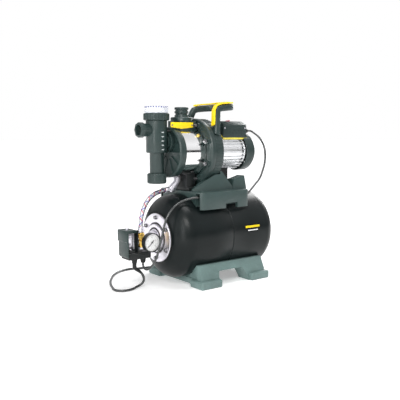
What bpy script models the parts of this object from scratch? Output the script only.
# Shallow well jet pump set: a self-priming pump with prefilter on a horizontal pressure tank.
# Metres, +Z up, +X from the pump's inlet towards its motor, floor at z = 0.
import math

import bmesh
import bpy
from mathutils import Matrix, Vector

# Clearances
gap = 0.0003  # between two pieces that touch
running = 0.0005  # between a turning piece and what it turns in

# Pressure tank
tank_radius = 0.1375
tank_length = 0.451
tank_front_x = -tank_length / 2
tank_dome = 0.074
tank_axis_z = 0.157
tank_wall = 0.002
tank_mouth_radius = 0.058
flange_radius = 0.079
flange_thickness = 0.0055
flange_boss_radius = 0.045
flange_boss_height = 0.007
bladder_wall = 0.003
bladder_space = 0.006
valve_radius = 0.0045
valve_length = 0.012
valve_cap_radius = 0.0065
valve_cap_length = 0.014

# Base cradle, one moulding on each side
cradle_length = tank_length - 0.179
cradle_top_y = 0.120
cradle_top_z = 0.073
cradle_wall_y = 0.139
cradle_wall_z = 0.033
cradle_rail_y = 0.084
cradle_end_wall = 0.016
cross_bar_z = 0.008
foot_reach_x = 0.011
foot_y = 0.1545
foot_inner_y = 0.088
foot_height = 0.025
foot_length_front = 0.085
foot_length_rear = 0.081
arch_height = 0.048
arch_slope = 0.012

# Pump saddle on the tank
saddle_front_x = -0.125
saddle_rear_x = 0.087
saddle_y = 0.120
saddle_bottom_z = 0.250
saddle_top_z = 0.306
saddle_corner = 0.022
saddle_notch_x = 0.004
saddle_notch_width = 0.050
saddle_notch_height = 0.017
cable_slot_y = 0.1005
cable_slot_width = 0.016
cable_slot_roof = 0.0045
cheek_y = 0.086
cheek_inner_y = 0.052
cheek_ridge_x = -0.047
cheek_ridge_z = 0.3565
cheek_apex_x = -0.011
cheek_apex_z = 0.3695
cheek_tip_x = -0.112
cheek_tip_z = 0.312
cheek_valley_x = 0.037
cheek_valley_z = 0.3135
rear_cheek_front_z = 0.3400
rear_cheek_top_x = 0.0885
rear_cheek_top_z = 0.3515

# Pump foot: a plate with a post under the jacket and one under the motor
pump_foot_front_x = -0.118
pump_foot_rear_x = 0.068
pump_foot_y = 0.046
front_post_rear_x = -0.082
front_post_y = 0.034
rear_post_front_x = 0.004
rear_post_rear_x = 0.062
rear_post_y = 0.030

# Pump axis, hydraulics
pump_axis_z = saddle_top_z + 0.1258
jacket_radius = 0.078
jacket_wall = 0.0015
jacket_front_x = -0.160
cover_rim_radius = jacket_radius + 0.004
cover_front_x = -0.1755
cover_rear_x = -0.152
cover_recess_radius = jacket_radius - 0.0035
cover_recess = 0.0095
cover_rib_count = 10
ring_radius = jacket_radius + 0.033
ring_front_x = -0.0705
ring_thickness = 0.015
boss_circle_radius = jacket_radius + 0.0165
boss_radius = 0.0095
boss_height = 0.006
boss_count = 8
bracket_radius = ring_radius - 0.002
bracket_length = 0.036
bracket_wall = 0.005
bracket_plate = 0.006
hub_radius = 0.024
shaft_radius = 0.006
shaft_front_x = -0.128
shaft_rear_x = 0.158
seal_radius = 0.013
seal_length = 0.020
impeller_radius = jacket_radius - 0.022
impeller_front_x = -0.112
impeller_rear_x = -0.098
ejector_radius = jacket_radius - 0.008
ejector_front_x = -0.158
ejector_rear_x = -0.116

# Motor
housing_radius = 0.062
fin_height = 0.007
fin_count = 30
housing_front_x = -0.0185
housing_rear_x = 0.117
stator_radius = 0.0455
stator_bore = 0.0295
stator_front_x = 0.020
stator_rear_x = 0.100
rotor_front_x = 0.026
rotor_rear_x = 0.094
bearing_radius = 0.0155
bearing_width = 0.009
shield_thickness = 0.005
fan_cover_radius = 0.067
fan_cover_wall = 0.0025
fan_cover_front_x = 0.1185
fan_cover_rear_x = 0.1655
fan_cover_crown = 0.006
fan_radius = 0.050
fan_blades = 8
fan_front_x = 0.136
fan_width = 0.012

# Terminal box, switch and lid
box_front_x = 0.030
box_rear_x = 0.134
box_half_width = 0.045
box_bottom_z = pump_axis_z + 0.0462
box_top_z = pump_axis_z + 0.0867
box_wall = 0.004
box_floor_z = pump_axis_z + 0.0697
lid_top_z = pump_axis_z + 0.1032
lid_chamfer = 0.014
gasket_thickness = 0.003
capacitor_radius = 0.0075
capacitor_length = 0.060
rocker_x = 0.056
rocker_y = -0.024
rocker_length = 0.030
rocker_width = 0.016
rocker_tilt = 10
terminal_gland_y = -0.030
terminal_gland_z = pump_axis_z + 0.0712
gland_radius = 0.0085
gland_length = 0.018
gland_grip = 0.008

# Carrying handle
handle_width = 0.018
handle_depth = 0.022
trim_thickness = 0.005
trim_gap = 0.0012
trim_far_start = 0.008
handle_foot = (-0.040, bracket_radius * 0.8486, pump_axis_z + 0.0562)
handle_knee = (-0.016, 0.066, pump_axis_z + 0.1352)
handle_grip_x = 0.066
handle_grip_z = pump_axis_z + 0.1522
handle_corner = 0.038

# Prefilter
filter_radius = 0.034
filter_x = cover_front_x - filter_radius - 0.0025
filter_bore = filter_radius - 0.0045
filter_shoulder_z = pump_axis_z - 0.0002
filter_neck_z = pump_axis_z + 0.1018
filter_top_z = pump_axis_z + 0.1207
filter_tube_radius = 0.023
filter_tube_bore = 0.019
filter_bottom_z = pump_axis_z - 0.0818
collar_radius = filter_radius + 0.0065
collar_top_z = pump_axis_z + 0.1248
lid_radius = filter_radius + 0.0026
clear_lid_top_z = pump_axis_z + 0.1462
clear_lid_wall = 0.004
cartridge_radius = filter_bore - 0.0035
cartridge_wall = 0.003
cartridge_bottom_z = pump_axis_z + 0.0082
drain_cap_radius = 0.030
drain_cap_bottom_z = pump_axis_z - 0.0983
drain_cap_top_z = pump_axis_z - 0.0655
drain_cap_floor = 0.006
inlet_z = pump_axis_z + 0.0718
inlet_end_x = filter_x - 0.068
inlet_radius = 0.0205
inlet_collar_radius = 0.024
inlet_collar_length = 0.016
inlet_bore = 0.0165
neck_z = pump_axis_z + 0.0332
neck_radius = 0.0225
neck_bore = 0.016
union_radius = 0.0345
poppet_radius = 0.0135
poppet_travel = 0.008
poppet_seat_x = filter_x - 0.044

# Outlet
outlet_x = -0.113
outlet_top_z = pump_axis_z + jacket_radius + 0.0682
outlet_radius = 0.023
outlet_bore = 0.0155
outlet_skirt_radius = 0.036
outlet_skirt_z = pump_axis_z + jacket_radius + 0.0202
outlet_skirt_top_z = pump_axis_z + jacket_radius + 0.0362
outlet_foot_half = 0.0345
outlet_foot_front_x = -0.143
outlet_foot_rear_x = -0.080
plate_front_x = -0.182
plate_rear_x = -0.094
plate_low_z = pump_axis_z + jacket_radius - 0.0008
plate_high_z = pump_axis_z + jacket_radius + 0.0187
plate_thickness = 0.003

# Tank connection, hose and gauge
manifold_x = tank_front_x - 0.050
manifold_radius = 0.0105
manifold_low_z = 0.134
manifold_high_z = 0.181
tee_arm = 0.0135
union_nut_radius = 0.026
union_nut_front_x = tank_front_x - 0.0245
elbow_x = -0.1325
elbow_half_width = 0.0088
hose_start_x = -0.1645
hose_start_z = pump_axis_z - jacket_radius - 0.0430
hose_radius = 0.0075
gauge_radius = 0.030
gauge_face_y = -0.070
gauge_depth = 0.024
gauge_bezel = 0.0022
gauge_dial_depth = 0.006
gauge_stem_radius = 0.0065
needle_length = 0.021
needle_tail = 0.009
needle_angle = 225

# Pressure switch
hood_front_x = manifold_x - 0.0685
hood_side_x = hood_front_x + 0.0078
hood_rear_x = manifold_x - 0.0305
hood_half_width = 0.028
hood_low_z = 0.104
hood_low_x = hood_front_x + 0.0100
hood_corner_z = 0.113
hood_step_z = 0.158
hood_top_z = 0.194
hood_wall = 0.0025
block_front_x = manifold_x - 0.0585
block_rear_x = manifold_x + 0.0235
block_half_width = 0.024
block_bottom_z = 0.100
block_top_z = 0.122
switch_plate_x = manifold_x - 0.0270
switch_plate_thickness = 0.003
diaphragm_radius = 0.022
lever_x = manifold_x - 0.0365
lever_thickness = 0.0025
mains_gland_x = manifold_x - 0.0245
cable_gland_x = manifold_x + 0.0075
switch_gland_length = 0.0175

# Cables
motor_cable_radius = 0.0035
mains_cord_radius = 0.004
coil_centre = (0.040, 0.262)
coil_mean_radius = 0.045
coil_half_width = 0.0085
coil_height = 0.0165
plug_radius = 0.0185
plug_length = 0.034

# Derived places
tank_end_x = tank_length / 2
dome_start_x = tank_end_x - tank_dome
flange_seat_x = -(dome_start_x + tank_dome * math.sqrt(1 - (flange_radius / tank_radius) ** 2))
flange_front_x = flange_seat_x - gap - flange_thickness
boss_front_x = flange_front_x - flange_boss_height
ring_rear_x = ring_front_x + ring_thickness
bracket_front_x = ring_rear_x + gap
bracket_rear_x = bracket_front_x + bracket_length
set_front_x = hood_front_x
set_rear_x = tank_end_x + valve_length + 0.002
origin_shift = -(set_front_x + set_rear_x) / 2
cable_slot_top_z = saddle_top_z - cable_slot_roof


def clear_scene():
    for old in list(bpy.data.objects):
        bpy.data.objects.remove(old, do_unlink=True)


def new_collection(name, hidden=False):
    collection = bpy.data.collections.new(name)
    bpy.context.scene.collection.children.link(collection)
    collection.hide_render = hidden
    return collection


clear_scene()
pump_set = new_collection("jet_pump_set")
cutters = new_collection("cutters", hidden=True)
assembly = bpy.data.objects.new("assembly", None)
assembly.location = (origin_shift, 0, 0)
pump_set.objects.link(assembly)


def finish(name, colour, roughness, metallic=0.0, alpha=1.0):
    material = bpy.data.materials.new(name)
    material.use_nodes = True
    shader = material.node_tree.nodes["Principled BSDF"]
    shader.inputs["Base Color"].default_value = (*colour, 1)
    shader.inputs["Roughness"].default_value = roughness
    shader.inputs["Metallic"].default_value = metallic
    shader.inputs["Alpha"].default_value = alpha
    return material


tank_black = finish("tank_black", (0.012, 0.014, 0.014), 0.32)
base_green = finish("base_green", (0.22, 0.30, 0.28), 0.55)
pump_plastic = finish("pump_plastic", (0.055, 0.075, 0.072), 0.5)
black_plastic = finish("black_plastic", (0.015, 0.017, 0.017), 0.45)
polished_steel = finish("polished_steel", (0.80, 0.80, 0.80), 0.12, 1.0)
bare_aluminium = finish("bare_aluminium", (0.72, 0.73, 0.74), 0.35, 1.0)
zinc = finish("zinc", (0.78, 0.78, 0.82), 0.30, 1.0)
brass = finish("brass", (0.78, 0.55, 0.18), 0.28, 1.0)
copper = finish("copper", (0.75, 0.36, 0.20), 0.40, 1.0)
yellow_plastic = finish("yellow_plastic", (0.95, 0.72, 0.02), 0.42)
red_plastic = finish("red_plastic", (0.75, 0.10, 0.14), 0.35)
clear_plastic = finish("clear_plastic", (0.86, 0.90, 0.98), 0.10, 0.0, 0.35)
white_dial = finish("white_dial", (0.92, 0.92, 0.92), 0.60)
rubber = finish("rubber", (0.02, 0.02, 0.02), 0.70)
hose_braid = finish("hose_braid", (0.75, 0.77, 0.78), 0.38, 0.8)
filter_mesh = finish("filter_mesh", (0.88, 0.88, 0.84), 0.60)


def add_object(name, mesh, material, location=(0, 0, 0), turn=None, parent=None):
    item = bpy.data.objects.new(name, mesh)
    item.location = location
    if turn:
        item.rotation_euler = [math.radians(angle) for angle in turn]
    if material:
        mesh.materials.clear()
        mesh.materials.append(material)
        item.parent = parent or assembly
        pump_set.objects.link(item)
    else:
        item.parent = assembly
        item.display_type = "WIRE"
        item.hide_render = True
        cutters.objects.link(item)
    return item


def mesh_from(bm, name):
    bmesh.ops.recalc_face_normals(bm, faces=bm.faces)
    mesh = bpy.data.meshes.new(name)
    bm.to_mesh(mesh)
    bm.free()
    return mesh


def box(name, low, high, material=None, bevel=0.0, **place):
    bm = bmesh.new()
    bmesh.ops.create_cube(bm, size=1)
    centre = [(a + b) / 2 for a, b in zip(low, high)]
    size = [b - a for a, b in zip(low, high)]
    bmesh.ops.scale(bm, vec=size, verts=bm.verts)
    bmesh.ops.translate(bm, vec=centre, verts=bm.verts)
    item = add_object(name, mesh_from(bm, name), material, **place)
    if bevel:
        add_bevel(item, bevel)
    return item


def add_bevel(item, width, segments=2, limit=40):
    bevel = item.modifiers.new("rounded_edges", "BEVEL")
    bevel.width = width
    bevel.segments = segments
    bevel.limit_method = "ANGLE"
    bevel.angle_limit = math.radians(limit)
    bevel.harden_normals = False
    return bevel


axis_turn = {"X": (0, 90, 0), "-X": (0, -90, 0), "Y": (-90, 0, 0), "-Y": (90, 0, 0), "Z": None,
             "-Z": (180, 0, 0)}


def cylinder_mesh(name, radius, low, high, sides=32, top_radius=None):
    bm = bmesh.new()
    top = radius if top_radius is None else top_radius
    bmesh.ops.create_cone(bm, cap_ends=True, segments=sides, radius1=radius, radius2=top,
                          depth=high - low)
    bmesh.ops.translate(bm, vec=(0, 0, (low + high) / 2), verts=bm.verts)
    return mesh_from(bm, name)


def cylinder(name, radius, low, high, material=None, axis="Z", centre=(0, 0, 0), sides=32,
             top_radius=None):
    mesh = cylinder_mesh(name, radius, low, high, sides, top_radius)
    if material:
        mesh.shade_smooth()
        mesh.set_sharp_from_angle(angle=math.radians(40))
    return add_object(name, mesh, material, location=centre, turn=axis_turn[axis])


def turned(name, profile, material=None, axis="Z", centre=(0, 0, 0), steps=40, parent=None):
    """The profile holds (radius, height) down the outer side; off the axis it is a closed loop."""
    mesh = bpy.data.meshes.new(name)
    points = [(radius, 0, height) for radius, height in profile]
    edges = [(i, i + 1) for i in range(len(points) - 1)]
    if profile[0][0] > 0 or profile[-1][0] > 0:
        edges.append((len(points) - 1, 0))
    mesh.from_pydata(points, edges, [])
    item = add_object(name, mesh, material, location=centre, turn=axis_turn[axis], parent=parent)
    screw = item.modifiers.new("turn", "SCREW")
    screw.axis = "Z"
    screw.angle = math.radians(360)
    screw.steps = screw.render_steps = steps
    screw.use_merge_vertices = True
    screw.merge_threshold = 0.00001
    screw.use_smooth_shade = True
    return item


def realised(curve_object):
    """The curve's solid as a mesh, with its caps welded on."""
    bpy.context.view_layer.update()
    graph = bpy.context.evaluated_depsgraph_get()
    mesh = bpy.data.meshes.new_from_object(curve_object.evaluated_get(graph))
    bm = bmesh.new()
    bm.from_mesh(mesh)
    bmesh.ops.remove_doubles(bm, verts=bm.verts, dist=0.000005)
    bm.to_mesh(mesh)
    bm.free()
    bpy.data.objects.remove(curve_object)
    return mesh


def prism(name, outlines, low, high, material=None, along="Z", bevel=0.0, **place):
    """Outlines are (x, y) for a prism along Z, (x, z) along Y and (y, z) along X."""
    curve = bpy.data.curves.new(name, "CURVE")
    curve.dimensions = "2D"
    curve.fill_mode = "BOTH"
    curve.extrude = (high - low) / 2
    for outline in outlines:
        spline = curve.splines.new("POLY")
        spline.points.add(len(outline) - 1)
        spline.use_cyclic_u = True
        for point, (u, v) in zip(spline.points, outline):
            point.co = (u, v, 0, 1)
    flat = bpy.data.objects.new(name, curve)
    pump_set.objects.link(flat)
    mesh = realised(flat)
    middle = (low + high) / 2
    if along == "Z":
        matrix = Matrix.Translation((0, 0, middle))
    elif along == "Y":
        matrix = Matrix(((1, 0, 0, 0), (0, 0, 1, middle), (0, 1, 0, 0), (0, 0, 0, 1)))
    else:
        matrix = Matrix(((0, 0, 1, middle), (1, 0, 0, 0), (0, 1, 0, 0), (0, 0, 0, 1)))
    bm = bmesh.new()
    bm.from_mesh(mesh)
    bmesh.ops.transform(bm, matrix=matrix, verts=bm.verts)
    bmesh.ops.recalc_face_normals(bm, faces=bm.faces)
    bm.to_mesh(mesh)
    bm.free()
    item = add_object(name, mesh, material, **place)
    if bevel:
        add_bevel(item, bevel)
    return item


def combine(item, operation, *others):
    for other in others:
        modifier = item.modifiers.new(other.name, "BOOLEAN")
        modifier.operation = operation
        modifier.object = other
        modifier.solver = "EXACT"


def cut(item, *others):
    combine(item, "DIFFERENCE", *others)


def join(item, *others):
    combine(item, "UNION", *others)


def smooth_points(points, spacing):
    """Points every spacing along a smooth curve through the route's own points."""
    route = [Vector(point) for point in points]
    dense = []
    for i in range(len(route) - 1):
        before = route[max(i - 1, 0)]
        start, end = route[i], route[i + 1]
        after = route[min(i + 2, len(route) - 1)]
        for step in range(12):
            t = step / 12
            dense.append(0.5 * (
                2 * start + (end - before) * t
                + (2 * before - 5 * start + 4 * end - after) * t ** 2
                + (3 * start - before - 3 * end + after) * t ** 3
            ))
    dense.append(route[-1])
    length = sum((b - a).length for a, b in zip(dense, dense[1:]))
    pieces = max(2, round(length / spacing))
    kept, travelled, wanted = [dense[0]], 0.0, length / pieces
    for a, b in zip(dense, dense[1:]):
        span = (b - a).length
        while wanted <= travelled + span and len(kept) < pieces:
            kept.append(a.lerp(b, (wanted - travelled) / span))
            wanted += length / pieces
        travelled += span
    kept.append(dense[-1])
    return kept


def tube(name, points, radius, material, spacing, resolution=2):
    curve = bpy.data.curves.new(name, "CURVE")
    curve.dimensions = "3D"
    curve.bevel_depth = radius
    curve.bevel_resolution = resolution
    curve.use_fill_caps = True
    places = smooth_points(points, spacing)
    spline = curve.splines.new("POLY")
    spline.points.add(len(places) - 1)
    for point, place in zip(spline.points, places):
        point.co = (*place, 1)
    item = bpy.data.objects.new(name, curve)
    item.parent = assembly
    curve.materials.append(material)
    pump_set.objects.link(item)
    return item


def rounded_outline(half_x, half_y, radius, centre=(0, 0), corners=4):
    points = []
    for quarter, (sx, sy) in enumerate(((1, 1), (-1, 1), (-1, -1), (1, -1))):
        for step in range(corners + 1):
            angle = math.radians(90 * quarter + 90 * step / corners)
            points.append((
                centre[0] + sx * (half_x - radius) + radius * math.cos(angle),
                centre[1] + sy * (half_y - radius) + radius * math.sin(angle),
            ))
    return points


def build_tank():
    inner = tank_radius - tank_wall

    def dome(radius, depth, from_radius):
        last = math.acos(from_radius / radius)
        return [(radius * math.cos(last * k / 6), depth * math.sin(last * k / 6)) for k in range(7)]

    outer_dome = dome(tank_radius, tank_dome, flange_radius + 0.001)
    inner_dome = dome(inner, tank_dome - tank_wall, flange_radius + 0.001)
    outer_seat = outer_dome[-1][1]
    seam = gap / 2
    mouth = tank_mouth_radius
    front = [(mouth, dome_start_x + outer_seat)]
    front += [(r, dome_start_x + h) for r, h in reversed(outer_dome)]
    front += [(tank_radius, seam), (inner, seam)]
    front += [(r, dome_start_x + h) for r, h in inner_dome]
    front += [(mouth, dome_start_x + outer_seat - tank_wall)]
    turned("tank_shell_front", front, tank_black, "-X", (0, 0, tank_axis_z), 40)

    hole = valve_radius + gap
    outer_dome = dome(tank_radius, tank_dome, hole)
    inner_dome = dome(inner, tank_dome - tank_wall, hole)
    rear = [(r, dome_start_x + h) for r, h in reversed(outer_dome)]
    rear += [(tank_radius, seam), (inner, seam)]
    rear += [(r, dome_start_x + h) for r, h in inner_dome]
    turned("tank_shell_rear", rear, tank_black, "X", (0, 0, tank_axis_z), 40)

    bag = inner - bladder_space
    wall = bladder_wall
    bag_end = dome_start_x + tank_dome * 0.72
    bag_mouth = mouth - 0.006
    rim_x = dome_start_x + outer_seat - tank_wall
    sack = [(0, -bag_end), (bag * 0.44, -bag_end + wall), (bag * 0.78, -dome_start_x - 0.027),
            (bag - wall, -dome_start_x)]
    sack += [(bag - wall, dome_start_x), (bag * 0.77, dome_start_x + 0.027),
             (bag_mouth - wall, dome_start_x + 0.039)]
    sack += [(bag_mouth - wall, rim_x), (bag_mouth, rim_x), (bag_mouth, dome_start_x + 0.042),
             (bag * 0.80, dome_start_x + 0.030)]
    sack += [(bag, dome_start_x), (bag, -dome_start_x), (bag * 0.80, -dome_start_x - 0.030),
             (bag * 0.45, -bag_end), (0, -bag_end - wall)]
    turned("tank_bladder", sack, rubber, "-X", (0, 0, tank_axis_z), 24)

    bore = manifold_radius + gap
    back = -flange_seat_x + gap
    face = back + flange_thickness
    boss = face + flange_boss_height
    plate = [(bore, boss), (flange_boss_radius - 0.004, boss), (flange_boss_radius, face + 0.002)]
    plate += [(flange_boss_radius + 0.003, face), (flange_radius - 0.0015, face),
              (flange_radius, face - 0.0015)]
    plate += [(flange_radius, back), (flange_boss_radius, back),
              (flange_boss_radius - 0.006, boss - 0.004)]
    plate += [(bore, boss - 0.004)]
    turned("tank_flange", plate, zinc, "-X", (0, 0, tank_axis_z), 36)

    stem_low = tank_end_x - tank_dome * 0.06
    stem = [(0, tank_end_x + valve_length), (valve_radius, tank_end_x + valve_length),
            (valve_radius, stem_low), (0, stem_low)]
    turned("air_valve", stem, brass, "X", (0, 0, tank_axis_z), 16)
    tip = tank_end_x + valve_length
    base = tank_end_x + 0.003
    cap_top = set_rear_x
    cap = [(0, cap_top), (valve_cap_radius - 0.001, cap_top), (valve_cap_radius, cap_top - 0.001),
           (valve_cap_radius, base)]
    cap += [(valve_radius + gap, base), (valve_radius + gap, tip + gap), (0, tip + gap)]
    turned("air_valve_cap", cap, black_plastic, "X", (0, 0, tank_axis_z), 20)


def build_cradle():
    half = cradle_length / 2
    touch = tank_radius + gap
    top_inner_y = math.sqrt(touch ** 2 - (tank_axis_z - cradle_top_z) ** 2)
    bed = []
    for step in range(17):
        y = top_inner_y * (step - 8) / 8
        bed.append((y, tank_axis_z - math.sqrt(touch ** 2 - y ** 2)))
    outline = [(cradle_wall_y, 0), (cradle_wall_y, cradle_wall_z), (cradle_top_y, cradle_top_z)]
    outline += list(reversed(bed)) + [(-cradle_top_y, cradle_top_z), (-cradle_wall_y, cradle_wall_z)]
    outline += [(-cradle_wall_y, 0), (-foot_inner_y, 0), (-foot_inner_y + 0.018, cross_bar_z)]
    outline += [(foot_inner_y - 0.018, cross_bar_z), (foot_inner_y, 0)]
    cradle = prism("base_cradle", [outline], -half, half, base_green, "X")
    well = half - cradle_end_wall
    cut(cradle, box("cradle_well", (-well, -cradle_rail_y, -0.01), (well, cradle_rail_y, 0.2)))
    for end, length in ((-1, foot_length_front), (1, foot_length_rear)):
        outer = end * (half + foot_reach_x)
        inner = outer - end * length
        for side in (-1, 1):
            near, far = side * foot_y, side * foot_inner_y
            low = (min(outer, inner), min(near, far), 0)
            high = (max(outer, inner), max(near, far), foot_height)
            foot = box(f"foot_{'front' if end < 0 else 'rear'}_{'near' if side < 0 else 'far'}", low,
                       high)
            add_bevel(foot, 0.004, 1)
            join(cradle, foot)
        for side in (-1, 1):
            outline = [(side * 0.050, 0.0260), (side * 0.108, 0.0640), (side * 0.114, 0.0260)]
            low, high = sorted((end * (half - 0.005), end * (half + 0.01)))
            cut(cradle, prism(f"end_recess_{end}_{side}", [outline], low, high, along="X"))
    front = -half - foot_reach_x + foot_length_front
    rear = half + foot_reach_x - foot_length_rear
    arch = [(front, -0.01), (front, foot_height * 0.9), (front - 0.003, foot_height + 0.008)]
    arch += [(front + 0.003, arch_height), (rear - arch_slope * 2.2, arch_height)]
    arch += [(rear, foot_height * 0.2), (rear, -0.01)]
    cut(cradle, prism("cradle_arch", [arch], -0.2, 0.2, along="Y"))


def build_saddle():
    middle = (saddle_front_x + saddle_rear_x) / 2
    half = (saddle_rear_x - saddle_front_x) / 2
    outline = rounded_outline(half, saddle_y, saddle_corner, (middle, 0))
    saddle = prism("pump_saddle", [outline], saddle_bottom_z, saddle_top_z, base_green)
    low_front = [(cheek_tip_x, -cheek_inner_y - 0.008), (cheek_ridge_x, -cheek_y),
                 (cheek_valley_x, -cheek_y)]
    low_front += [(cheek_valley_x, -cheek_inner_y), (cheek_tip_x, -cheek_inner_y)]
    low_rear = [(cheek_valley_x + 0.002, -cheek_y), (rear_cheek_top_x + 0.010, -cheek_y)]
    low_rear += [(rear_cheek_top_x + 0.010, -cheek_inner_y), (cheek_valley_x + 0.002, -cheek_inner_y)]
    clear_z = pump_axis_z - 0.03
    over_front = [(cheek_tip_x - 0.01, cheek_tip_z - 0.007), (cheek_ridge_x, cheek_ridge_z),
                  (cheek_apex_x, cheek_apex_z)]
    over_front += [(cheek_valley_x + 0.001, cheek_valley_z), (cheek_valley_x + 0.001, clear_z),
                   (cheek_tip_x - 0.01, clear_z)]
    over_rear = [(cheek_valley_x, cheek_valley_z), (cheek_valley_x + 0.006, rear_cheek_front_z)]
    over_rear += [(rear_cheek_top_x, rear_cheek_top_z), (rear_cheek_top_x + 0.011, saddle_top_z)]
    over_rear += [(rear_cheek_top_x + 0.02, saddle_top_z), (rear_cheek_top_x + 0.02, clear_z),
                  (cheek_valley_x, clear_z)]
    ring_space = cylinder("ring_space", ring_radius + 0.0015, ring_front_x - 0.012,
                          bracket_rear_x + 0.002,
                          axis="X", centre=(0, 0, pump_axis_z), sides=64)
    for side, label in ((-1, "near"), (1, "far")):
        for outline, over, part in ((low_front, over_front, "front"), (low_rear, over_rear, "rear")):
            placed = [(x, y if side < 0 else -y) for x, y in outline]
            cheek = prism(f"cheek_{part}_{label}", [placed], saddle_top_z - 0.006, clear_z - 0.02)
            trim = prism(f"over_{part}_{label}", [over], -0.15, 0.15, along="Y")
            cut(cheek, trim, ring_space)
            join(saddle, cheek)
    tank_space = cylinder("tank_space", tank_radius + gap, -0.2, 0.2, axis="X",
                          centre=(0, 0, tank_axis_z), sides=96)
    cut(saddle, tank_space)
    for side in (-1, 1):
        y = side * cable_slot_y
        slot = box(f"cable_slot_{'near' if side < 0 else 'far'}",
                   (-0.2, y - cable_slot_width / 2, 0.2), (0.2, y + cable_slot_width / 2,
                                                           cable_slot_top_z))
        cut(saddle, slot)
        foot = side * saddle_y
        wide = saddle_notch_width / 2
        notch_low = (saddle_notch_x - wide, min(foot - 0.012, foot + 0.012), saddle_bottom_z - 0.01)
        notch_high = (saddle_notch_x + wide, max(foot - 0.012, foot + 0.012),
                      saddle_bottom_z + saddle_notch_height)
        cut(saddle, box(f"notch_{'near' if side < 0 else 'far'}", notch_low, notch_high))


def build_pump_foot():
    top = pump_axis_z - ring_radius - gap * 3
    low = saddle_top_z + gap
    foot = box("pump_foot", (pump_foot_front_x, -pump_foot_y, low),
               (pump_foot_rear_x, pump_foot_y, top), black_plastic)
    front = box("pump_foot_front", (pump_foot_front_x, -front_post_y, low + 0.002),
                (front_post_rear_x, front_post_y, pump_axis_z - 0.03))
    rear = box("pump_foot_rear", (rear_post_front_x, -rear_post_y, low + 0.002),
               (rear_post_rear_x, rear_post_y, pump_axis_z - 0.03))
    join(foot, front, rear)
    under_jacket = cylinder("under_jacket", jacket_radius + gap, -0.2, ring_front_x - 0.001, axis="X",
                            centre=(0, 0, pump_axis_z), sides=64)
    under_motor = cylinder("under_motor", housing_radius + gap, bracket_rear_x, 0.2, axis="X",
                           centre=(0, 0, pump_axis_z), sides=64)
    cut(foot, under_jacket, under_motor)


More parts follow.
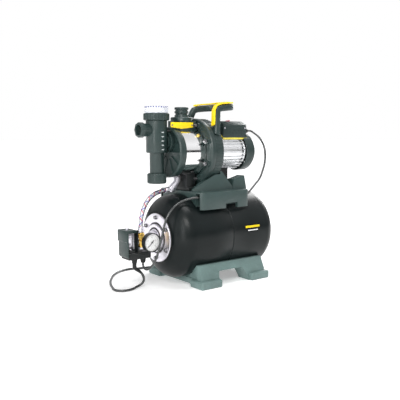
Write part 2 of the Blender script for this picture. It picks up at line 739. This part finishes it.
def build_pump():
    centre = (0, 0, pump_axis_z)
    outer, inner = jacket_radius, jacket_radius - jacket_wall
    jacket_rear = ring_front_x + ring_thickness - 0.004
    jacket = turned("pump_jacket", [(outer, jacket_rear), (outer, jacket_front_x),
                                    (inner, jacket_front_x), (inner, jacket_rear)],
                    polished_steel, "X", centre, 48)
    port = cylinder("outlet_port", outlet_bore, jacket_radius / 2, jacket_radius * 1.5,
                    centre=(outlet_x, 0, pump_axis_z), sides=24)
    cut(jacket, port)
    rim = cover_rim_radius
    face_x = cover_front_x + cover_recess
    back_x = jacket_front_x - gap
    cover = [(0, back_x), (outer + gap, back_x), (outer + gap, cover_rear_x), (rim, cover_rear_x),
             (rim, cover_front_x + 0.004)]
    cover += [(rim - 0.004, cover_front_x), (cover_recess_radius + 0.002, cover_front_x),
              (cover_recess_radius, cover_front_x + 0.003)]
    cover += [(cover_recess_radius - 0.002, face_x), (0, face_x)]
    item = turned("front_cover", cover, pump_plastic, "X", centre, 36)
    bm = bmesh.new()
    for k in range(cover_rib_count):
        made = bmesh.ops.create_cube(bm, size=1)["verts"]
        bmesh.ops.scale(bm, vec=(0.005, 0.0036, cover_recess_radius - 0.020), verts=made)
        bmesh.ops.translate(bm, vec=(face_x, 0, (cover_recess_radius + 0.022) / 2), verts=made)
        turn = Matrix.Rotation(2 * math.pi * (k + 0.5) / cover_rib_count, 3, "X")
        bmesh.ops.rotate(bm, cent=(0, 0, 0), matrix=turn, verts=made)
    join(item, add_object("cover_ribs", mesh_from(bm, "cover_ribs"), None, location=centre))
    seat = cylinder("union_seat", union_radius + 0.0008, cover_front_x - 0.02, face_x, axis="X",
                    centre=(0, 0, neck_z), sides=40)
    bore = cylinder("cover_bore", neck_bore, -0.2, -0.14, axis="X", centre=(0, 0, neck_z), sides=24)
    cut(item, seat, bore)

    ring = turned("clamp_ring", [(ring_radius, ring_rear_x), (ring_radius, ring_front_x + 0.003),
                                 (ring_radius - 0.003, ring_front_x),
                                 (outer + 0.004, ring_front_x), (outer + gap,
                                                                 ring_front_x + 0.003), (outer + gap,
                                                                                         ring_rear_x)],
                  pump_plastic, "X", centre, 48)
    bm = bmesh.new()
    for k in range(boss_count):
        angle = math.radians(360 / boss_count * (k + 0.5))
        made = bmesh.ops.create_cone(bm, cap_ends=True, segments=12, radius1=boss_radius,
                                     radius2=boss_radius * 0.92,
                                     depth=boss_height + 0.004)
        bmesh.ops.translate(bm, verts=made["verts"], vec=(
            boss_circle_radius * math.cos(angle), boss_circle_radius * math.sin(angle),
            -ring_front_x + (boss_height - 0.004) / 2))
    bosses = add_object("ring_bosses", mesh_from(bm, "ring_bosses"), None, location=centre,
                        turn=axis_turn["-X"])
    join(ring, bosses)

    band = bracket_radius
    plate_x = bracket_front_x + 0.006
    hub_rear = bracket_front_x + 0.032
    bracket = [(band - 0.003, bracket_rear_x), (band, bracket_rear_x - 0.003), (band, bracket_front_x),
               (outer + 0.006, bracket_front_x)]
    bracket += [(outer - 0.004, plate_x - 0.001), (shaft_radius + 0.004, plate_x - 0.001),
                (shaft_radius + 0.004, hub_rear - bearing_width)]
    bracket += [(bearing_radius + gap, hub_rear - bearing_width), (bearing_radius + gap, hub_rear)]
    bracket += [(hub_radius, hub_rear), (hub_radius, plate_x + bracket_plate),
                (housing_radius - 0.008, plate_x + bracket_plate)]
    bracket += [(housing_radius - 0.008, bracket_rear_x - 0.004),
                (housing_radius + 0.004, bracket_rear_x - 0.004)]
    bracket += [(housing_radius + 0.004, plate_x + bracket_plate + 0.004),
                (band - bracket_wall, plate_x + bracket_plate + 0.004)]
    bracket += [(band - bracket_wall, bracket_rear_x)]
    turned("motor_bracket", bracket, pump_plastic, "X", centre, 40)

    jet = ejector_radius
    ejector = [(jet, ejector_rear_x), (jet, ejector_front_x + 0.006), (0.030, ejector_front_x),
               (0.012, ejector_front_x)]
    ejector += [(0.009, ejector_front_x + 0.012), (0.016, ejector_rear_x - 0.006),
                (jet - 0.004, ejector_rear_x - 0.006), (jet - 0.004, ejector_rear_x)]
    turned("ejector", ejector, black_plastic, "X", centre, 24)

    shaft_r = shaft_radius
    wheel = [(shaft_r + gap, impeller_rear_x), (impeller_radius, impeller_rear_x),
             (impeller_radius, impeller_rear_x - 0.006)]
    wheel += [(0.030, impeller_front_x), (0.018, impeller_front_x), (shaft_r + gap, impeller_front_x)]
    turned("impeller", wheel, brass, "X", centre, 24)
    turned("pump_shaft", [(0, shaft_rear_x), (shaft_r, shaft_rear_x), (shaft_r, shaft_front_x),
                          (0, shaft_front_x)],
           bare_aluminium, "X", centre, 20)
    seal_rear = plate_x - 0.0015
    seal = [(seal_radius, seal_rear), (seal_radius, seal_rear - seal_length * 0.4),
            (seal_radius * 0.8, seal_rear - seal_length)]
    seal += [(shaft_r + gap, seal_rear - seal_length), (shaft_r + gap, seal_rear)]
    turned("mechanical_seal", seal, rubber, "X", centre, 24)
    return hub_rear


def build_motor(front_bearing_rear):
    centre = (0, 0, pump_axis_z)
    root = housing_radius - fin_height
    fins = []
    bore = []
    for k in range(fin_count):
        middle = 2 * math.pi * k / fin_count
        step = 2 * math.pi / fin_count
        for radius, share in ((root, -0.26), (housing_radius, -0.16), (housing_radius, 0.16),
                              (root, 0.26)):
            angle = middle + share * step
            fins.append((radius * math.cos(angle), radius * math.sin(angle)))
        bore.append(((stator_radius + gap) * math.cos(middle),
                     (stator_radius + gap) * math.sin(middle)))
    front = bracket_rear_x - 0.0035
    housing = prism("motor_housing", [fins, bore], front, housing_rear_x, bare_aluminium, "X")
    housing.location = centre
    ring = [(stator_radius, stator_rear_x), (stator_radius, stator_front_x),
            (stator_bore, stator_front_x), (stator_bore, stator_rear_x)]
    turned("motor_stator", [(r * 0.99, x) for r, x in ring[:2]] + ring[2:], copper, "X", centre, 32)
    core = stator_bore - running * 2
    rotor = [(core, rotor_rear_x), (core, rotor_front_x), (shaft_radius + gap, rotor_front_x),
             (shaft_radius + gap, rotor_rear_x)]
    turned("motor_rotor", rotor, bare_aluminium, "X", centre, 32)
    shield_rear = housing_rear_x + gap + shield_thickness
    rear_bearing_rear = shield_rear + 0.006
    for name, rear in (("front_bearing", front_bearing_rear), ("rear_bearing", rear_bearing_rear)):
        low = rear - bearing_width + gap
        race = [(bearing_radius, rear), (bearing_radius, low), (shaft_radius + gap, low),
                (shaft_radius + gap, rear)]
        turned(name, race, polished_steel, "X", centre, 24)
    shield = [(housing_radius - 0.004, shield_rear), (housing_radius - 0.004, housing_rear_x + gap),
              (shaft_radius + 0.004, housing_rear_x + gap)]
    shield += [(shaft_radius + 0.004, rear_bearing_rear - bearing_width),
               (bearing_radius + gap, rear_bearing_rear - bearing_width)]
    shield += [(bearing_radius + gap, rear_bearing_rear), (bearing_radius + 0.004, rear_bearing_rear),
               (bearing_radius + 0.004, shield_rear)]
    turned("rear_shield", shield, bare_aluminium, "X", centre, 24)

    bore = shaft_radius + gap
    fan_rear = fan_front_x + fan_width
    fan = turned("cooling_fan", [(0.013, fan_rear), (0.013, fan_front_x), (bore, fan_front_x),
                                 (bore, fan_rear)], black_plastic, "X", centre, 24)
    bm = bmesh.new()
    for k in range(fan_blades):
        made = bmesh.ops.create_cube(bm, size=1)["verts"]
        bmesh.ops.scale(bm, vec=(fan_width - 0.001, 0.0025, fan_radius - 0.011), verts=made)
        bmesh.ops.translate(bm, vec=(fan_front_x + fan_width / 2, 0, (fan_radius + 0.011) / 2),
                            verts=made)
        bmesh.ops.rotate(bm, cent=(0, 0, 0), matrix=Matrix.Rotation(2 * math.pi * k / fan_blades, 3,
                                                                    "X"), verts=made)
    join(fan, add_object("fan_blades", mesh_from(bm, "fan_blades"), None, location=centre))

    shell, wall, crown = fan_cover_radius, fan_cover_wall, fan_cover_crown
    end = fan_cover_rear_x
    cover = [(0, end + crown), (shell * 0.5, end + crown * 0.75), (shell * 0.85, end),
             (shell, end - 0.012), (shell, fan_cover_front_x)]
    cover += [(shell - wall, fan_cover_front_x), (shell - wall, end - 0.013),
              (shell * 0.83, end - wall), (shell * 0.5, end + crown * 0.75 - wall)]
    cover += [(0, end + crown - wall)]
    item = turned("fan_cover", cover, pump_plastic, "X", centre, 36)
    slots = []
    for k in range(-2, 3):
        y = k * 0.017
        reach = math.sqrt((shell * 0.66) ** 2 - y ** 2)
        slots.append(box(f"air_slot_{k + 3}", (end - 0.02, y - 0.0025, pump_axis_z - reach),
                         (end + 0.02, y + 0.0025, pump_axis_z + reach)))
    cut(item, *slots)
    notch = box("terminal_notch", (0.05, -box_half_width - 0.0025,
                                   box_bottom_z - gasket_thickness - 0.0012),
                (box_rear_x + 0.0015, box_half_width + 0.0025, 0.55))
    cut(item, notch)


def build_terminal_box():
    axis = (0, 0, pump_axis_z)
    half = box_half_width
    over_housing = housing_radius + gap
    pad_radius = over_housing + gasket_thickness
    pad = cylinder("terminal_gasket", pad_radius, box_front_x - 0.001, box_rear_x + 0.001, rubber, "X",
                   axis, 48)
    pad.data.materials[0] = yellow_plastic
    low = box_bottom_z - gap - gasket_thickness
    keep = box("gasket_keep", (0, -half - 0.002, low), (0.2, half + 0.002, 0.6))
    combine(pad, "INTERSECT", keep)
    join(pad, box("gasket_lip", (box_front_x - 0.001, -half - 0.0018, low + 0.0001),
                  (box_rear_x + 0.001, half + 0.0018, box_bottom_z - gap)))
    cut(pad, cylinder("gasket_bore", over_housing, 0, 0.2, axis="X", centre=axis, sides=48))

    case = box("terminal_box", (box_front_x, -half, box_bottom_z), (box_rear_x, half, box_top_z),
               pump_plastic)
    cavity = box("terminal_cavity", (box_front_x + box_wall, -half + box_wall, box_floor_z),
                 (box_rear_x - box_wall, half - box_wall, 0.6))
    saddle_cut = cylinder("terminal_saddle", pad_radius + gap, -0.1, 0.3, axis="X", centre=axis,
                          sides=48)
    entry = cylinder("terminal_entry", 0.0045, 0.12, 0.15, axis="X",
                     centre=(0, terminal_gland_y, terminal_gland_z), sides=16)
    cut(case, cavity, saddle_cut, entry)

    low, high = box_top_z + gap, lid_top_z
    inset = lid_chamfer
    profile = [(-half, low), (-half, low + 0.003), (-half + inset * 0.8, high),
               (half - inset * 0.8, high), (half, low + 0.003), (half, low)]
    lid = prism("terminal_lid", [profile], box_front_x, box_rear_x, pump_plastic, "X")
    end_cut = [(box_rear_x - inset, high + 0.001), (box_rear_x + 0.001, low + 0.005),
               (box_rear_x + 0.01, high + 0.01)]
    cut(lid, prism("lid_end", [end_cut], -0.1, 0.1, along="Y"))
    well = box("rocker_well", (rocker_x - rocker_length / 2 - 0.002,
                               rocker_y - rocker_width / 2 - 0.001, high - 0.011),
               (rocker_x + rocker_length / 2 + 0.002, rocker_y + rocker_width / 2 + 0.001, high + 0.02))
    cut(lid, well)

    capacitor_z = box_floor_z + gap + capacitor_radius
    cylinder("start_capacitor", capacitor_radius, 0.045, 0.045 + capacitor_length, bare_aluminium, "X",
             (0, 0.020, capacitor_z), 20)

    half_length, thick = rocker_length / 2, 0.0045
    dip = 0.0016
    shape = [(-half_length, thick), (0, thick - dip), (half_length, thick),
             (half_length * 0.8, -0.001), (0, -thick * 0.6), (-half_length * 0.8, -0.001)]
    rocker = prism("power_rocker", [shape], -rocker_width / 2, rocker_width / 2, red_plastic, "Y")
    rocker.location = (rocker_x, rocker_y, lid_top_z - 0.003)
    rocker.rotation_euler = (0, math.radians(-rocker_tilt), 0)

    gland("terminal_gland", (box_rear_x + gap, terminal_gland_y, terminal_gland_z), "X",
          motor_cable_radius, gland_length)


def gland(name, place, axis, cable_radius, length):
    """A cable gland with its cap and the blind hole that holds the cable's end."""
    r, hole = gland_radius, cable_radius + gap
    profile = [(0, length - gland_grip), (hole, length - gland_grip), (hole, length),
               (r * 0.75, length), (r, length * 0.7)]
    profile += [(r, length * 0.45), (r * 1.1, length * 0.4), (r * 1.1, 0), (0, 0)]
    turned(name, profile, black_plastic, axis, place, 12)


def sweep(name, frames, half_width, low, high, material):
    """A bar of rounded rectangular section along frames of (place, outward, across)."""
    chamfer = min(half_width, (high - low) / 2) * 0.45
    section = [(-half_width + chamfer, low), (half_width - chamfer, low), (half_width, low + chamfer),
               (half_width, high - chamfer)]
    section += [(half_width - chamfer, high), (-half_width + chamfer, high),
                (-half_width, high - chamfer), (-half_width, low + chamfer)]
    bm = bmesh.new()
    rings = [[bm.verts.new(place + across * u + outward * v) for u, v in section] for place, outward,
             across in frames]
    for first, second in zip(rings, rings[1:]):
        for k in range(len(section)):
            following = (k + 1) % len(section)
            bm.faces.new((first[k], first[following], second[following], second[k]))
    bm.faces.new(rings[0])
    bm.faces.new(reversed(rings[-1]))
    return add_object(name, mesh_from(bm, name), material)


def handle_frames():
    """Up one post, round the knee, round the grip and down the other post."""
    foot, knee = Vector(handle_foot), Vector(handle_knee)
    grip_x, grip_z, corner = handle_grip_x, handle_grip_z, handle_corner
    up = (knee - foot).normalized()
    half = [foot, foot.lerp(knee, 0.35), foot.lerp(knee, 0.7), knee - up * 0.004]
    start = Vector((knee.x + 0.018, knee.y - 0.001, knee.z + 0.010))
    half += [knee + Vector((0.004, -0.0004, 0.0055)), start]
    turn_y = knee.y - 0.001 - corner
    turn_x = grip_x - corner
    rise = grip_z - start.z
    for step in range(7):
        angle = math.radians(90 * step / 6)
        x = turn_x + corner * math.sin(angle)
        half.append(Vector((x, turn_y + corner * math.cos(angle),
                            start.z + rise * (0.4 + 0.6 * step / 6))))
    half.append(Vector((grip_x, 0, grip_z)))
    other = [Vector((p.x, -p.y, p.z)) for p in reversed(half[:-1])]
    points = half + other
    frames = []
    for i, place in enumerate(points):
        ahead = (points[min(i + 1, len(points) - 1)] - points[max(i - 1, 0)]).normalized()
        share = min(1.0, max(0.0, (place.x - knee.x) / 0.03))
        reference = Vector((-(1 - share), 0, 0.02 + share))
        if i < 3 or i > len(points) - 4:
            reference = Vector((-1, 0, 0))
        outward = (reference - ahead * reference.dot(ahead)).normalized()
        frames.append((place, outward, ahead.cross(outward).normalized()))
    return frames


def build_handle():
    frames = handle_frames()
    half = handle_width / 2
    handle = sweep("carry_handle", frames, half, -handle_depth / 2, handle_depth / 2, pump_plastic)
    cut(handle, cylinder("handle_seat", bracket_radius + gap, -0.08, 0, axis="X",
                         centre=(0, 0, pump_axis_z), sides=40))
    outer = handle_depth / 2 + trim_gap
    trim = sweep("handle_trim", frames[1:-1], half, outer, outer + trim_thickness, yellow_plastic)
    knee_x, knee_y, knee_z = handle_knee
    far_post = box("far_post", (knee_x - 0.06, knee_y * 0.5, pump_axis_z),
                   (knee_x + trim_far_start, knee_y * 2, knee_z + 0.05))
    cut(trim, far_post)


def build_filter():
    x = filter_x
    centre = (x, 0, 0)
    r, bore, tube_r, tube_bore = filter_radius, filter_bore, filter_tube_radius, filter_tube_bore
    shoulder, bottom = filter_shoulder_z, filter_bottom_z
    profile = [(r - 0.0015, filter_top_z), (r - 0.0015, filter_neck_z + 0.001), (r, filter_neck_z),
               (r, shoulder + 0.002), (r - 0.002, shoulder)]
    profile += [(tube_r, shoulder), (tube_r, bottom), (tube_bore, bottom),
                (tube_bore, shoulder + 0.005), (bore, shoulder + 0.006), (bore, filter_top_z)]
    body = turned("filter_body", profile, pump_plastic, "Z", centre, 28)
    inlet = cylinder("inlet_port", inlet_radius, inlet_end_x + 0.001, x - bore - 0.001, axis="X",
                     centre=(0, 0, inlet_z), sides=32)
    collar = cylinder("inlet_collar", inlet_collar_radius, inlet_end_x,
                      inlet_end_x + inlet_collar_length, axis="X", centre=(0, 0, inlet_z), sides=8)
    neck = cylinder("filter_neck", neck_radius, x + bore + 0.001, cover_front_x + cover_recess - gap,
                    axis="X", centre=(0, 0, neck_z), sides=32)
    join(body, inlet, collar, neck)
    inlet_hole = cylinder("inlet_hole", inlet_bore, inlet_end_x - 0.01, x - bore + 0.004, axis="X",
                          centre=(0, 0, inlet_z), sides=24)
    neck_hole = cylinder("neck_hole", neck_bore, x + bore - 0.006, -0.15, axis="X",
                         centre=(0, 0, neck_z), sides=24)
    cut(body, inlet_hole, neck_hole)

    low, high = filter_neck_z + gap, collar_top_z
    ring = [(collar_radius - 0.001, high), (collar_radius, high - 0.001), (collar_radius, low + 0.002),
            (collar_radius - 0.002, low)]
    ring += [(r + gap, low), (r + gap, filter_top_z + gap), (lid_radius - 0.006, filter_top_z + gap),
             (lid_radius - 0.006, high)]
    turned("filter_collar", ring, pump_plastic, "Z", centre, 32)
    lid_low = collar_top_z + gap
    wall = clear_lid_wall
    lid = [(0, clear_lid_top_z), (lid_radius - 0.003, clear_lid_top_z),
           (lid_radius, clear_lid_top_z - 0.003), (lid_radius, lid_low)]
    lid += [(lid_radius - wall, lid_low), (lid_radius - wall, clear_lid_top_z - wall),
            (0, clear_lid_top_z - wall)]
    turned("filter_lid", lid, clear_plastic, "Z", centre, 28)
    can, can_wall = cartridge_radius, cartridge_wall
    top = clear_lid_top_z - wall - gap
    cartridge = [(can - 0.004, top), (can - 0.004, filter_top_z), (can, filter_top_z - 0.006),
                 (can, cartridge_bottom_z)]
    cartridge += [(can - can_wall, cartridge_bottom_z), (can - can_wall, filter_top_z - 0.007),
                  (can - can_wall - 0.004, filter_top_z), (can - can_wall - 0.004, top)]
    turned("filter_cartridge", cartridge, filter_mesh, "Z", centre, 20)

    cap, cap_low, cap_high = drain_cap_radius, drain_cap_bottom_z, drain_cap_top_z
    floor = cap_low + drain_cap_floor
    drain = [(0, floor), (tube_r + gap, floor), (tube_r + gap, cap_high), (cap - 0.002, cap_high),
             (cap, cap_high - 0.002)]
    drain += [(cap, cap_low + 0.002), (cap - 0.002, cap_low), (0, cap_low)]
    turned("filter_drain_cap", drain, pump_plastic, "Z", centre, 28)

    nut_rear = cover_front_x + cover_recess - gap * 2
    nut_front = filter_x + filter_radius + gap
    nut = [(union_radius, nut_rear), (union_radius, nut_front + 0.001),
           (union_radius - 0.001, nut_front)]
    nut += [(neck_radius + gap, nut_front), (neck_radius + gap, nut_rear)]
    turned("filter_union_nut", nut, pump_plastic, "X", (0, 0, neck_z), 28)

    seat_x = poppet_seat_x
    poppet = [(0, seat_x + 0.003), (poppet_radius, seat_x + 0.003), (poppet_radius, seat_x),
              (0.003, seat_x - 0.001), (0.003, seat_x - 0.006), (0, seat_x - 0.006)]
    turned("check_poppet", poppet, white_dial, "X", (0, 0, inlet_z), 20)


def build_outlet():
    x = outlet_x
    r, top, skirt = outlet_radius, outlet_top_z, outlet_skirt_radius
    profile = [(r - 0.001, top), (r, top - 0.001), (r, top - 0.007), (r - 0.003, top - 0.008),
               (r - 0.003, top - 0.012), (r, top - 0.013)]
    profile += [(r, top - 0.019), (r - 0.003, top - 0.020), (r - 0.003, top - 0.024), (r, top - 0.025),
                (r, outlet_skirt_top_z)]
    profile += [(skirt - 0.002, outlet_skirt_top_z), (skirt, outlet_skirt_top_z - 0.002),
                (skirt, outlet_skirt_z), (outlet_foot_half - 0.001, outlet_skirt_z)]
    profile += [(outlet_foot_half - 0.001, outlet_skirt_z - 0.030),
                (outlet_bore, outlet_skirt_z - 0.030), (outlet_bore, top)]
    fitting = turned("outlet_fitting", profile, pump_plastic, "Z", (x, 0, 0), 28)
    foot = box("outlet_foot", (outlet_foot_front_x, -outlet_foot_half, pump_axis_z),
               (outlet_foot_rear_x, outlet_foot_half, outlet_skirt_z + 0.004))
    join(fitting, foot)
    cut(fitting, cylinder("outlet_hole", outlet_bore - 0.001, pump_axis_z, outlet_top_z + 0.02,
                          centre=(x, 0, 0), sides=32))
    cut(fitting, cylinder("outlet_seat", jacket_radius + gap, -0.2, 0, axis="X",
                          centre=(0, 0, pump_axis_z), sides=48))

    back = -outlet_foot_half - gap
    low, high = plate_low_z, plate_high_z
    middle = (plate_front_x + plate_rear_x) / 2
    outline = [(plate_front_x, high), (plate_front_x, low + 0.004), (middle - 0.020, low + 0.001),
               (middle, low - 0.001)]
    outline += [(middle + 0.020, low + 0.001), (plate_rear_x, low + 0.004), (plate_rear_x, high)]
    prism("name_plate", [outline], back - plate_thickness, back, yellow_plastic, "Y")


def build_tank_line():
    x, z, r = manifold_x, tank_axis_z, manifold_radius
    body = cylinder("tee_manifold", r, manifold_low_z, manifold_high_z, brass, "Z", (x, 0, 0), 24)
    to_tank = cylinder("tee_to_tank", r - 0.0004, x, flange_seat_x + 0.0, axis="X", centre=(0, 0, z),
                       sides=24)
    to_switch = cylinder("tee_to_switch", r * 0.8, 0, tee_arm, axis="-X", centre=(x, 0, z), sides=24)
    to_gauge = cylinder("tee_to_gauge", gauge_stem_radius, 0, -gauge_face_y - gauge_depth - gap,
                        axis="-Y", centre=(x, 0, z), sides=20)
    join(body, to_tank, to_switch, to_gauge)

    nut_rear = boss_front_x - gap
    nut = [(union_nut_radius, nut_rear), (union_nut_radius, nut_rear - 0.010),
           (union_nut_radius - 0.006, nut_rear - 0.012)]
    nut += [(union_nut_radius - 0.008, union_nut_front_x), (r + gap, union_nut_front_x),
            (r + gap, nut_rear)]
    turned("tank_union", nut, zinc, "X", (0, 0, z), 12)

    case_r, face, back = gauge_radius, -gauge_face_y, -gauge_face_y - gauge_depth
    dial_seat = face - gauge_dial_depth
    inside = case_r - gauge_bezel
    case = [(0, dial_seat - 0.001), (inside, dial_seat - 0.001), (inside, face),
            (case_r - 0.001, face), (case_r, face - 0.001)]
    case += [(case_r, back + 0.003), (case_r - 0.004, back), (0, back)]
    turned("gauge_case", case, black_plastic, "-Y", (x, 0, z), 32)
    dial_front = dial_seat
    turned("gauge_dial", [(0, dial_front), (case_r - gauge_bezel - gap, dial_front),
                          (case_r - gauge_bezel - gap, dial_seat - 0.001 + gap),
                          (0, dial_seat - 0.001 + gap)], white_dial, "-Y", (x, 0, z), 24)
    angle = math.radians(needle_angle)
    along = Vector((math.cos(angle), math.sin(angle)))
    across = Vector((-along.y, along.x))
    shape = [along * needle_length + across * 0.0004, across * 0.0018,
             -along * needle_tail + across * 0.0012]
    shape += [-along * needle_tail - across * 0.0012, -across * 0.0018,
              along * needle_length - across * 0.0004]
    needle_low = -(dial_front + 0.0024)
    needle = prism("gauge_needle", [[tuple(p) for p in shape]], needle_low, needle_low + 0.0012,
                   black_plastic, "Y")
    needle.location = (x, 0, z)
    glass_back = face - 0.0022
    turned("gauge_glass", [(0, face - 0.0004), (case_r - gauge_bezel - gap, face - 0.0004),
                           (case_r - gauge_bezel - gap, glass_back), (0, glass_back)],
           clear_plastic, "-Y", (x, 0, z), 24)

    x, z, side = hose_start_x, hose_start_z, elbow_half_width
    under = pump_axis_z - jacket_radius - gap * 3
    elbow = [(elbow_x - side, under), (elbow_x + side, under), (elbow_x + side, z + 0.027),
             (x + 0.016, z - side)]
    elbow += [(x + gap, z - side), (x + gap, z + side), (elbow_x - side, z + 0.028)]
    prism("hose_elbow", [elbow], -side, side, zinc, "Y", bevel=0.002)
    route = [(x, z), (x - 0.009, z), (x - 0.019, z - 0.0015), (x - 0.040, z - 0.0055)]
    route += [(x - 0.061, z - 0.013), (manifold_x + 0.027, z - 0.031), (manifold_x + 0.012, z - 0.055)]
    route += [(manifold_x + 0.004, z - 0.079), (manifold_x + 0.0015, z - 0.098),
              (manifold_x, z - 0.113)]
    route += [(manifold_x, manifold_high_z + 0.006), (manifold_x, manifold_high_z + gap)]
    tube("braided_hose", [(px, 0, pz) for px, pz in route], hose_radius, hose_braid, 0.014, 3)


def build_switch():
    z = tank_axis_z
    plate_x, thick = switch_plate_x, switch_plate_thickness
    half = block_half_width
    block = box("switch_base", (block_front_x, -half, block_bottom_z),
                (block_rear_x, half, block_top_z), black_plastic)
    add_bevel(block, 0.002, 1)
    plate_low = block_top_z - 0.004
    upright = box("switch_upright", (plate_x, -half - 0.002, plate_low),
                  (plate_x + thick, half + 0.002, hood_top_z - 0.002))
    join(block, upright)
    for place_x, radius in ((mains_gland_x, mains_cord_radius), (cable_gland_x, motor_cable_radius)):
        entry = cylinder(f"entry_{place_x}", radius + 0.0008, block_bottom_z - 0.01,
                         block_bottom_z + 0.012, centre=(place_x, 0, 0), sides=16)
        cut(block, entry)

    arm_end = manifold_x - tee_arm - gap
    seat = plate_x + thick + gap
    flange = [(0, arm_end), (0.0115, arm_end), (0.0115, seat + 0.0045),
              (diaphragm_radius, seat + 0.0045), (diaphragm_radius, seat), (0, seat)]
    turned("switch_diaphragm", flange, zinc, "X", (0, 0, z), 24)
    box("switch_lever", (lever_x, -0.016, 0.126), (lever_x + lever_thickness, 0.016, 0.186), zinc)

    low, top, wall = hood_low_z, hood_top_z, hood_wall

    def hood_outline(inset, open_x):
        return [
            (hood_front_x + inset, top - inset), (open_x, top - inset), (open_x, low + inset),
            (hood_low_x, low + inset), (hood_front_x + 0.004 + inset, hood_corner_z + inset * 0.6),
            (hood_front_x + 0.004 + inset, hood_step_z - 0.002), (hood_front_x + inset,
                                                                  hood_step_z + 0.002),
        ]

    half = hood_half_width
    hood = prism("switch_hood", [hood_outline(0, hood_rear_x)], -half, half, pump_plastic, "Y")
    inside = prism("hood_inside", [hood_outline(wall, hood_rear_x + 0.02)], -half + wall, half - wall,
                   along="Y")
    window = box("hood_window", (hood_side_x, -0.05, low - 0.01),
                 (hood_rear_x + 0.02, 0.05, top - wall - 0.006))
    cut(hood, inside, window)
    for name, place_x, radius in (("mains_gland", mains_gland_x, mains_cord_radius),
                                  ("motor_cable_gland", cable_gland_x, motor_cable_radius)):
        gland(name, (place_x, 0, block_bottom_z - gap), "-Z", radius, switch_gland_length)


def build_cables():
    low = mains_cord_radius + 0.0002
    grip = gland_grip - gap
    start_x = box_rear_x + gap + gland_length - grip
    down_z = block_bottom_z - gap - switch_gland_length
    end_z = down_z + grip
    y, z = terminal_gland_y, terminal_gland_z
    route = [(start_x, y, z), (start_x + 0.016, y, z), (0.168, y - 0.004, z - 0.001),
             (0.174, y - 0.011, z - 0.007)]
    route += [(0.1785, y - 0.026, z - 0.017), (0.1815, y - 0.042, z - 0.034),
              (0.182, y - 0.056, z - 0.056)]
    route += [(0.181, y - 0.0625, z - 0.082), (0.180, y - 0.062, z - 0.110),
              (0.174, y - 0.058, z - 0.139)]
    route += [(0.160, y - 0.058, z - 0.165), (0.135, y - 0.062, z - 0.184),
              (0.109, y - 0.067, z - 0.202)]
    route += [(0.086, -0.0995, 0.2855), (0.060, -cable_slot_y, 0.2775), (0.020, -cable_slot_y, 0.2770),
              (-0.030, -cable_slot_y, 0.2780)]
    route += [(-0.080, -cable_slot_y, 0.2810), (-0.1196, -cable_slot_y, 0.2900),
              (manifold_x + 0.1295, -0.0880, 0.2865), (manifold_x + 0.0945, -0.0800, 0.2755)]
    route += [(manifold_x + 0.0685, -0.0800, 0.2590), (manifold_x + 0.0505, -0.0800, 0.2390),
              (manifold_x + 0.0385, -0.0800, 0.2160), (manifold_x + 0.0298, -0.0800, 0.1840)]
    route += [(manifold_x + 0.0209, -0.0800, 0.1540), (manifold_x + 0.0135, -0.0790, 0.1280),
              (manifold_x + 0.0085, -0.0710, 0.1030), (manifold_x + 0.0070, -0.0520, 0.0800)]
    route += [(manifold_x + 0.0070, -0.0260, 0.0640), (cable_gland_x, -0.0070, 0.0650),
              (cable_gland_x, 0, 0.0740), (cable_gland_x, 0, down_z), (cable_gland_x, 0, end_z)]
    tube("motor_cable", route, motor_cable_radius, rubber, 0.016, 2)

    x = mains_gland_x
    coil_reach = coil_mean_radius + coil_half_width
    tangent_y = coil_centre[1] - coil_reach - mains_cord_radius - gap
    route = [(x, 0, end_z), (x, 0, down_z), (x, 0, down_z - 0.009), (manifold_x - 0.0205, 0, 0.0655),
             (manifold_x - 0.0110, 0, 0.0590)]
    route += [(manifold_x - 0.0015, 0, 0.0510), (manifold_x + 0.0065, 0, 0.0400)]
    route += [(manifold_x + 0.0105, 0.0010, 0.0250), (manifold_x + 0.0075, 0.0050, 0.0140),
              (manifold_x - 0.0005, 0.0090, 0.0070), (manifold_x - 0.0145, 0.0060, low)]
    route += [(manifold_x - 0.0356, -0.0071, low), (manifold_x - 0.0657, -0.0105, low),
              (manifold_x - 0.0844, 0.0042, low), (manifold_x - 0.0865, 0.0260,
                                                   low), (manifold_x - 0.0803, 0.0434, low)]
    route += [(manifold_x - 0.0602, 0.0925, low), (manifold_x - 0.0239, 0.1501, low),
              (manifold_x + 0.0185, 0.1997, low), (-0.2079, 0.2301, low), (-0.1742, 0.2334, low)]
    route += [(-0.1382, 0.2213, low), (-0.0955, 0.2150, low), (-0.0500, 0.2090, low)]
    route += [(0, tangent_y + 0.0006, low), (coil_centre[0] - 0.016, tangent_y, low),
              (coil_centre[0], tangent_y, low)]
    tube("mains_cord", route, mains_cord_radius, rubber, 0.019, 2)
    radius, half = coil_mean_radius, coil_half_width
    ring = [(radius + half - 0.004, coil_height), (radius + half, coil_height * 0.6),
            (radius + half, coil_height * 0.4), (radius + half - 0.004, 0.0002)]
    ring += [(radius - half + 0.004, 0.0002), (radius - half, coil_height * 0.4),
             (radius - half, coil_height * 0.6), (radius - half + 0.004, coil_height)]
    turned("cord_coil", ring, rubber, "Z", (*coil_centre, 0), 24)
    r = plug_radius
    plug = [(0, plug_length), (0.008, plug_length), (r, plug_length - 0.006), (r, 0.004),
            (r - 0.002, 0), (0, 0)]
    turned("mains_plug", plug, rubber, "X", (coil_centre[0] + coil_reach + gap, coil_centre[1],
                                             r + 0.0002), 24)


build_tank()
build_cradle()
build_saddle()
build_pump_foot()
bearing_place = build_pump()
build_motor(bearing_place)
build_terminal_box()
build_handle()
build_filter()
build_outlet()
build_tank_line()
build_switch()
build_cables()
